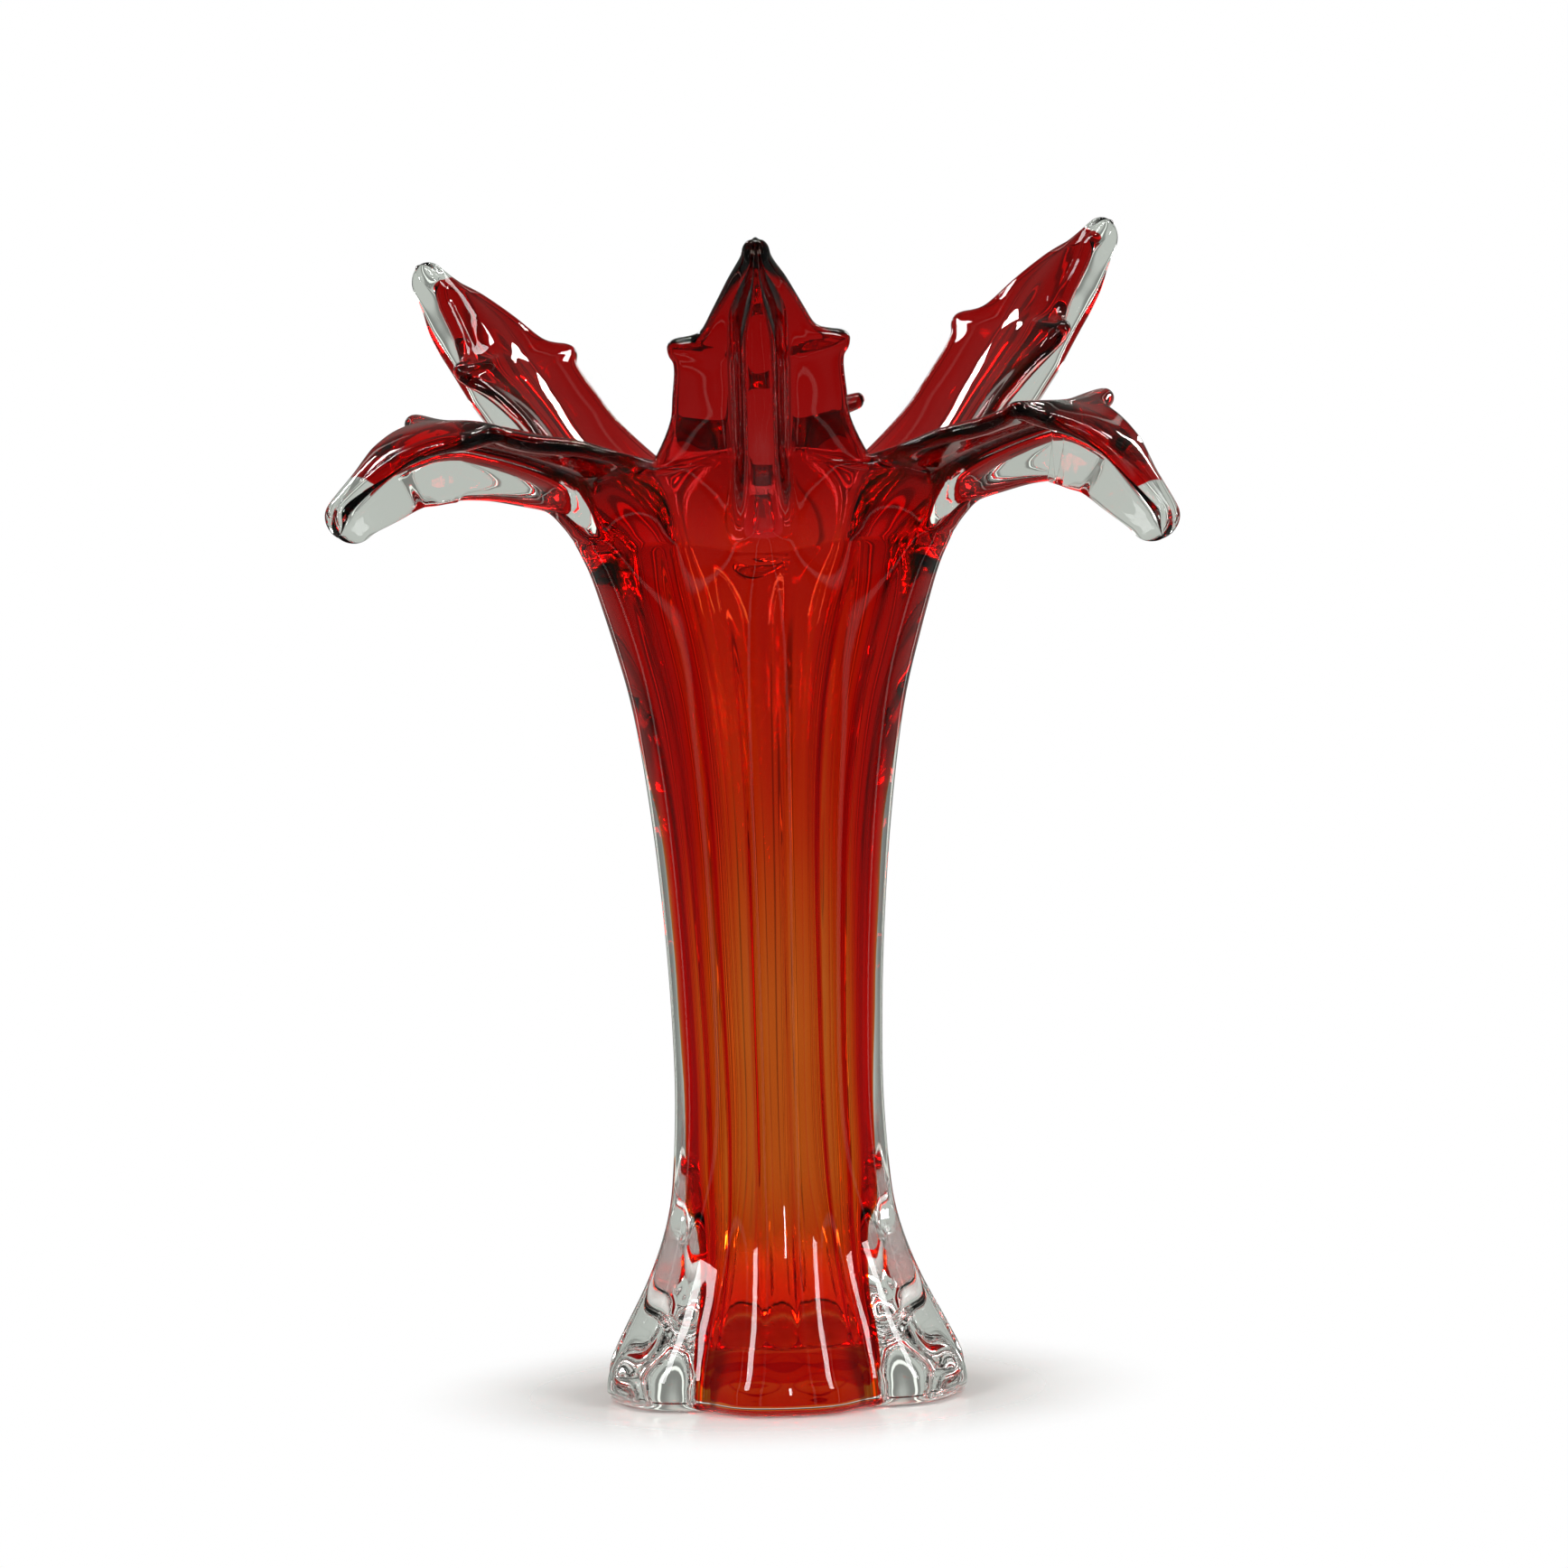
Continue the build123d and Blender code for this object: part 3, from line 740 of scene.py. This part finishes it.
def stage_floor():
    """Pale floor, which is only there round the foot and fades out into the plain background."""
    mesh = bpy.data.meshes.new("floor")
    corners = [(-6.0, -6.0, 0), (6.0, -6.0, 0), (6.0, 6.0, 0), (-6.0, 6.0, 0)]
    mesh.from_pydata(corners, [], [(0, 1, 2, 3)])
    piece = bpy.data.objects.new("floor", mesh)
    piece.location.z = -0.0002
    bpy.context.scene.collection.objects.link(piece)
    material, nodes, links = new_material("floor")
    output = nodes.new("ShaderNodeOutputMaterial")
    pale = nodes.new("ShaderNodeBsdfPrincipled")
    pale.inputs["Base Color"].default_value = (0.62, 0.61, 0.6, 1)
    pale.inputs["Roughness"].default_value = 0.18
    clear_away = nodes.new("ShaderNodeBsdfTransparent")
    place = nodes.new("ShaderNodeTexCoord")
    distance = nodes.new("ShaderNodeVectorMath")
    distance.operation = "LENGTH"
    links.new(place.outputs["Object"], distance.inputs[0])
    fade = nodes.new("ShaderNodeMapRange")
    fade.interpolation_type = "SMOOTHSTEP"
    fade.inputs["From Min"].default_value = 0.04
    fade.inputs["From Max"].default_value = 0.11
    links.new(distance.outputs["Value"], fade.inputs["Value"])
    mix = nodes.new("ShaderNodeMixShader")
    links.new(fade.outputs["Result"], mix.inputs[0])
    links.new(pale.outputs["BSDF"], mix.inputs[1])
    links.new(clear_away.outputs["BSDF"], mix.inputs[2])
    links.new(mix.outputs["Shader"], output.inputs["Surface"])
    mesh.materials.append(material)


def studio_world():
    """Plain white behind the vase for the camera. Everything else sees a grey room, with darker bands and
    narrow bright strips all round it up to the height of the lamps, so that the glass shows its edges."""
    world = bpy.data.worlds.new("studio")
    world.use_nodes = True
    nodes, links = world.node_tree.nodes, world.node_tree.links
    nodes.clear()
    output = nodes.new("ShaderNodeOutputWorld")
    mix = nodes.new("ShaderNodeMixShader")
    path = nodes.new("ShaderNodeLightPath")
    room = nodes.new("ShaderNodeBackground")
    place = nodes.new("ShaderNodeTexCoord")
    split = nodes.new("ShaderNodeSeparateXYZ")
    links.new(place.outputs["Generated"], split.inputs["Vector"])

    def math_node(operation, first, second=None):
        node = nodes.new("ShaderNodeMath")
        node.operation = operation
        for socket, value in zip(node.inputs, (first, second)):
            if isinstance(value, float):
                socket.default_value = value
            elif value is not None:
                links.new(value, socket)
        return node.outputs["Value"]

    def ramp(value, low, high, to_low=0.0, to_high=1.0):
        node = nodes.new("ShaderNodeMapRange")
        node.interpolation_type = "SMOOTHSTEP"
        node.inputs["From Min"].default_value, node.inputs["From Max"].default_value = low, high
        node.inputs["To Min"].default_value, node.inputs["To Max"].default_value = to_low, to_high
        links.new(value, node.inputs["Value"])
        return node.outputs["Result"]

    bearing = math_node("ARCTAN2", split.outputs["Y"], split.outputs["X"])
    wave = math_node("COSINE", math_node("MULTIPLY", bearing, 8.0))
    low_down = ramp(split.outputs["Z"], 0.5, 0.85, 1.0, 0.0)
    shade = ramp(math_node("MULTIPLY", ramp(wave, -0.9, -0.1, 1.0, 0.0), low_down), 0.0, 1.0, 1.0, 0.45)
    strip = math_node("MULTIPLY", ramp(wave, -0.995, -0.95, 1.6, 0.0), low_down)
    reflected = math_node("SUBTRACT", path.outputs["Is Glossy Ray"], path.outputs["Is Transmission Ray"])
    mirrored = ramp(reflected, 0.0, 1.0, 1.0, 0.3)
    links.new(math_node("ADD", math_node("MULTIPLY", shade, mirrored), strip), room.inputs["Strength"])
    room.inputs["Color"].default_value = BACKDROP
    white = nodes.new("ShaderNodeBackground")
    white.inputs["Color"].default_value = (1, 1, 1, 1)
    links.new(path.outputs["Is Camera Ray"], mix.inputs[0])
    links.new(room.outputs[0], mix.inputs[1])
    links.new(white.outputs[0], mix.inputs[2])
    links.new(mix.outputs[0], output.inputs["Surface"])
    bpy.context.scene.world = world


def area_light(name, place, target, width, height, watts):
    light = bpy.data.lights.new(name, "AREA")
    light.shape = "RECTANGLE"
    light.size, light.size_y = width, height
    light.energy = watts
    lamp = bpy.data.objects.new(name, light)
    lamp.location = place
    lamp.rotation_euler = (Vector(target) - Vector(place)).to_track_quat("-Z", "Y").to_euler()
    lamp.visible_camera = False
    bpy.context.scene.collection.objects.link(lamp)


stage_floor()
studio_world()
area_light("key_light", (-0.95, -0.85, 0.95), (0, 0, 0.15), 0.24, 0.7, 15)
area_light("fill_light", (1.05, -0.75, 0.85), (0, 0, 0.15), 0.22, 0.7, 13)
area_light("top_light", (0.1, 0.15, 1.5), (0, 0, 0.15), 0.5, 0.4, 9)
area_light("upper_left_light", (-0.65, 0.2, 1.37), (0, 0, 0.25), 0.1, 0.35, 4)
area_light("upper_right_light", (0.65, 0.2, 1.37), (0, 0, 0.25), 0.1, 0.35, 4)
area_light("front_strip", (0.06, -1.75, 0.75), (0, 0, 0.15), 0.05, 0.5, 4)
area_light("rear_left_light", (-0.85, 1.0, 0.95), (0, 0, 0.25), 0.08, 0.4, 3)
area_light("rear_right_light", (0.85, 1.0, 0.95), (0, 0, 0.25), 0.08, 0.4, 3)

camera = bpy.data.cameras.new("camera")
camera.lens = 142
camera.sensor_width = 36
eye = bpy.data.objects.new("camera", camera)
eye.location = (0.0, -1.70, 0.27)
aim = Vector((0.0037, 0.0, 0.1675)) - eye.location
eye.rotation_mode = "QUATERNION"
eye.rotation_quaternion = aim.to_track_quat("-Z", "Y")
eye.rotation_mode = "XYZ"
eye.rotation_euler.rotate_axis("Z", math.radians(-1.6))
bpy.context.scene.collection.objects.link(eye)
bpy.context.scene.camera = eye

scene = bpy.context.scene
scene.view_settings.view_transform = "Standard"
scene.cycles.max_bounces = 32
scene.cycles.transmission_bounces = 32
scene.cycles.transparent_max_bounces = 64
scene.cycles.glossy_bounces = 8
scene.cycles.volume_bounces = 0
